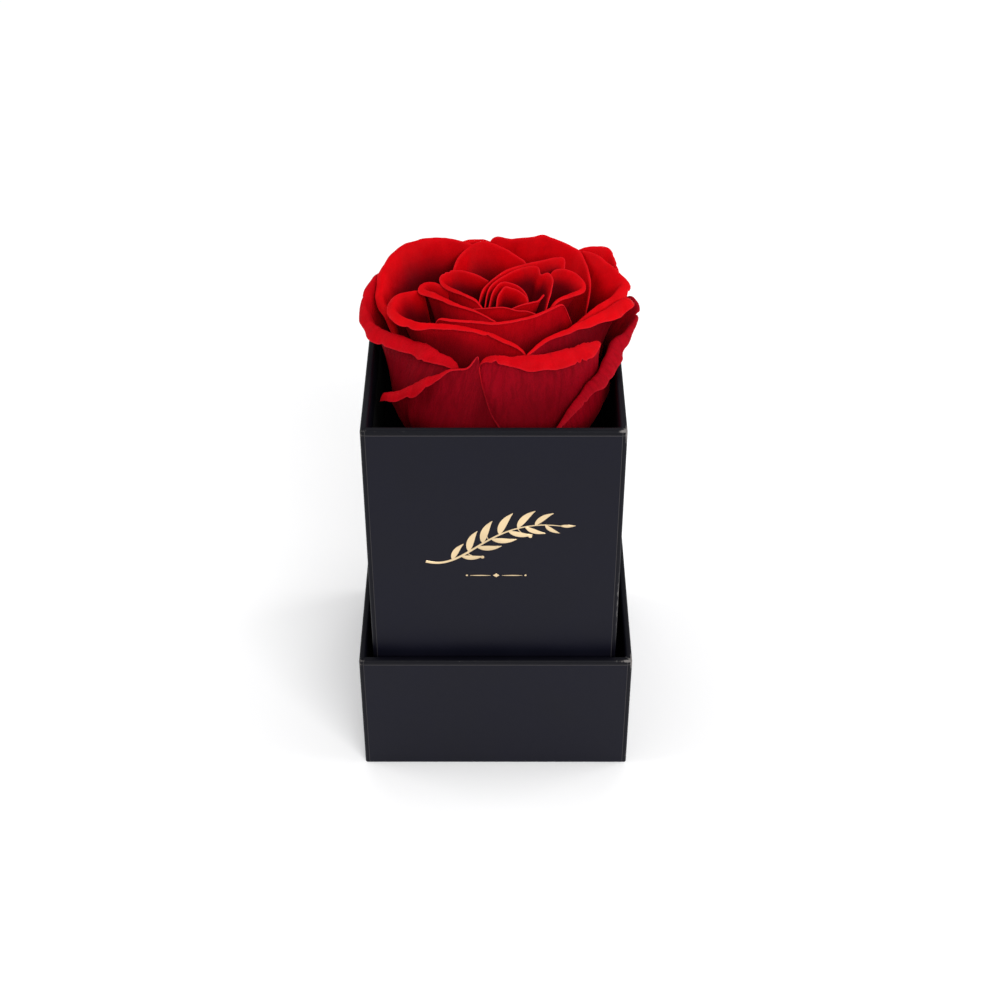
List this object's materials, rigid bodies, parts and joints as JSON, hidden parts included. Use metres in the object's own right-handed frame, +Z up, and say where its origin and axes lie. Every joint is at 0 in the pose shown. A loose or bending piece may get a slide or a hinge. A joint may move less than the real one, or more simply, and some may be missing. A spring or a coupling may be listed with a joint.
{
  "type": "rose in a box",
  "caption": "Preserved red rose head set in a tall black square gift box that stands in its own upturned lid.",
  "frame": {"origin": "on the floor, under the middle of the upturned lid", "axes": "+X right, +Y to the back, +Z up; the face with the gilt sprig looks along -Y"},
  "size_m": [0.08, 0.08, 0.1443],
  "materials": {
    "cover_paper": "black embossed cover paper with a soft satin coat",
    "lining_paper": "matt black lining paper",
    "grey_board": "bare grey board, hidden inside the walls",
    "foam": "black fine-celled foam",
    "black_card": "black card",
    "green_stem": "preserved green plant skin, dull",
    "petal": "preserved rose petal, velvety deep red"
  },
  "bodies": {
    "root": {"box_board_back": "grey_board", "box_board_front": "grey_board", "box_board_left": "grey_board", "box_board_panel": "grey_board", "box_board_right": "grey_board", "box_lining": "lining_paper", "box_wrap_band": "cover_paper", "box_wrap_sheet": "cover_paper", "foam_block": "foam", "foam_card": "black_card", "lid_board_back": "grey_board", "lid_board_front": "grey_board", "lid_board_left": "grey_board", "lid_board_panel": "grey_board", "lid_board_right": "grey_board", "lid_lining": "lining_paper", "lid_wrap_band": "cover_paper", "lid_wrap_sheet": "cover_paper", "petal_bud_back": "petal", "petal_bud_core": "petal", "petal_bud_curl": "petal", "petal_bud_front": "petal", "petal_edge_front": "petal", "petal_edge_left": "petal", "petal_edge_right": "petal", "petal_guard_back": "petal", "petal_guard_back_left": "petal", "petal_guard_front": "petal", "petal_guard_right": "petal", "petal_heart_left": "petal", "petal_heart_notched": "petal", "petal_heart_right": "petal", "petal_heart_square": "petal", "petal_inner_back": "petal", "petal_inner_front": "petal", "petal_inner_left": "petal", "petal_middle_back": "petal", "petal_middle_left": "petal", "petal_middle_right": "petal", "petal_outer_back_left": "petal", "petal_outer_back_right": "petal", "petal_outer_front": "petal", "petal_outer_front_right": "petal", "petal_outer_sliver": "petal", "sepal_1": "green_stem", "sepal_2": "green_stem", "sepal_3": "green_stem", "sepal_4": "green_stem", "sepal_5": "green_stem", "stem_and_hip": "green_stem"}
  },
  "joints": []
}
